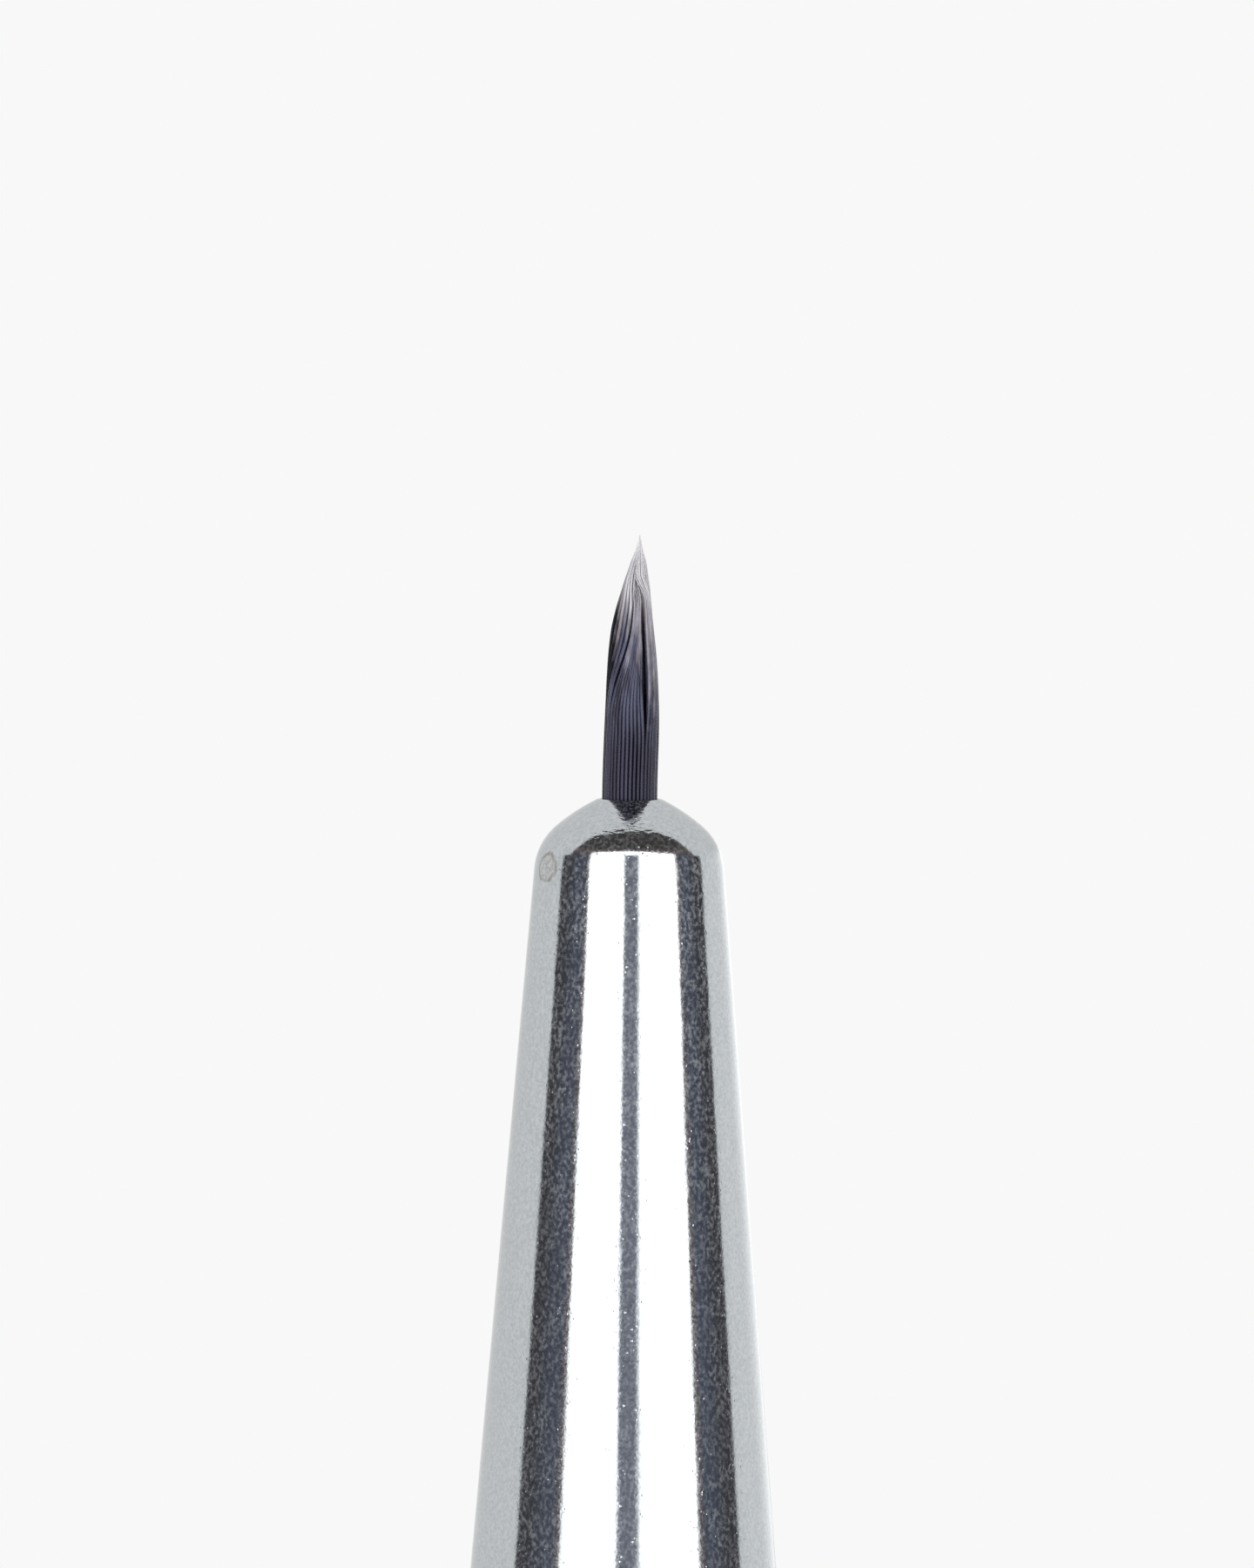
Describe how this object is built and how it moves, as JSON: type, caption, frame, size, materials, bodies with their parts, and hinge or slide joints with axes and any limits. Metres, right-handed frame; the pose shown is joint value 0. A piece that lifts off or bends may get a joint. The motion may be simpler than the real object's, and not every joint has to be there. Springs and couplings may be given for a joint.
{
  "type": "fine detail brush",
  "caption": "Slender fine detail brush: pointed filament tuft, seamless plated ferrule with a domed nose and crimped skirt, turned lacquered wooden handle.",
  "frame": {"origin": "centre of the flat end face of the handle's tail", "axes": "+Z along the brush from the tail to the tuft's point, +X to the right and +Y away as seen from the front"},
  "size_m": [0.0098, 0.0098, 0.1703],
  "materials": {
    "ferrule_metal": "mirror polished nickel plating on drawn brass",
    "handle_wood": "black gloss lacquer on turned wood, bare on the tenon",
    "adhesive": "cured adhesive",
    "resin": "cast amber setting resin",
    "thread": "twisted polyester thread",
    "filament": "dark dyed synthetic filament with undyed translucent tips"
  },
  "bodies": {
    "brush": {"handle": "handle_wood", "ferrule": "ferrule_metal", "tenon_adhesive": "adhesive", "setting_resin": "resin", "binding_thread": "thread", "fused_butt": "filament", "tuft_root": "filament", "filament_01": "filament", "filament_02": "filament", "filament_03": "filament", "filament_04": "filament", "filament_05": "filament", "filament_06": "filament", "filament_07": "filament", "filament_08": "filament", "filament_09": "filament", "filament_10": "filament", "filament_11": "filament", "filament_12": "filament", "filament_13": "filament", "filament_14": "filament", "filament_15": "filament", "filament_16": "filament", "filament_17": "filament", "filament_18": "filament", "filament_19": "filament", "filament_20": "filament", "filament_21": "filament", "filament_22": "filament", "filament_23": "filament", "filament_24": "filament", "filament_25": "filament", "filament_26": "filament", "filament_27": "filament", "filament_28": "filament", "filament_29": "filament", "filament_30": "filament", "filament_31": "filament", "filament_32": "filament", "filament_33": "filament", "filament_34": "filament", "filament_35": "filament", "filament_36": "filament", "filament_37": "filament", "filament_38": "filament", "filament_39": "filament", "filament_40": "filament"},
    "tuft": {"tuft_core": "filament"}
  },
  "joints": [
    {"name": "tuft_flex", "type": "hinge", "parent": "brush", "child": "tuft", "pos_m": [0, 0, 0.16466], "axis": [0, 1, 0], "range_deg": [-30, 30], "stiffness_Nm_per_rad": 0.0003, "deforming": ["filament_01", "filament_02", "filament_03", "filament_04", "filament_05", "filament_06", "filament_07", "filament_08", "filament_09", "filament_10", "filament_11", "filament_12", "filament_13", "filament_14", "filament_15", "filament_16", "filament_17", "filament_18", "filament_19", "filament_20", "filament_21", "filament_22", "filament_23", "filament_24", "filament_25", "filament_26", "filament_27", "filament_28", "filament_29", "filament_30", "filament_31", "filament_32", "filament_33", "filament_34", "filament_35", "filament_36", "filament_37", "filament_38", "filament_39", "filament_40"]}
  ]
}
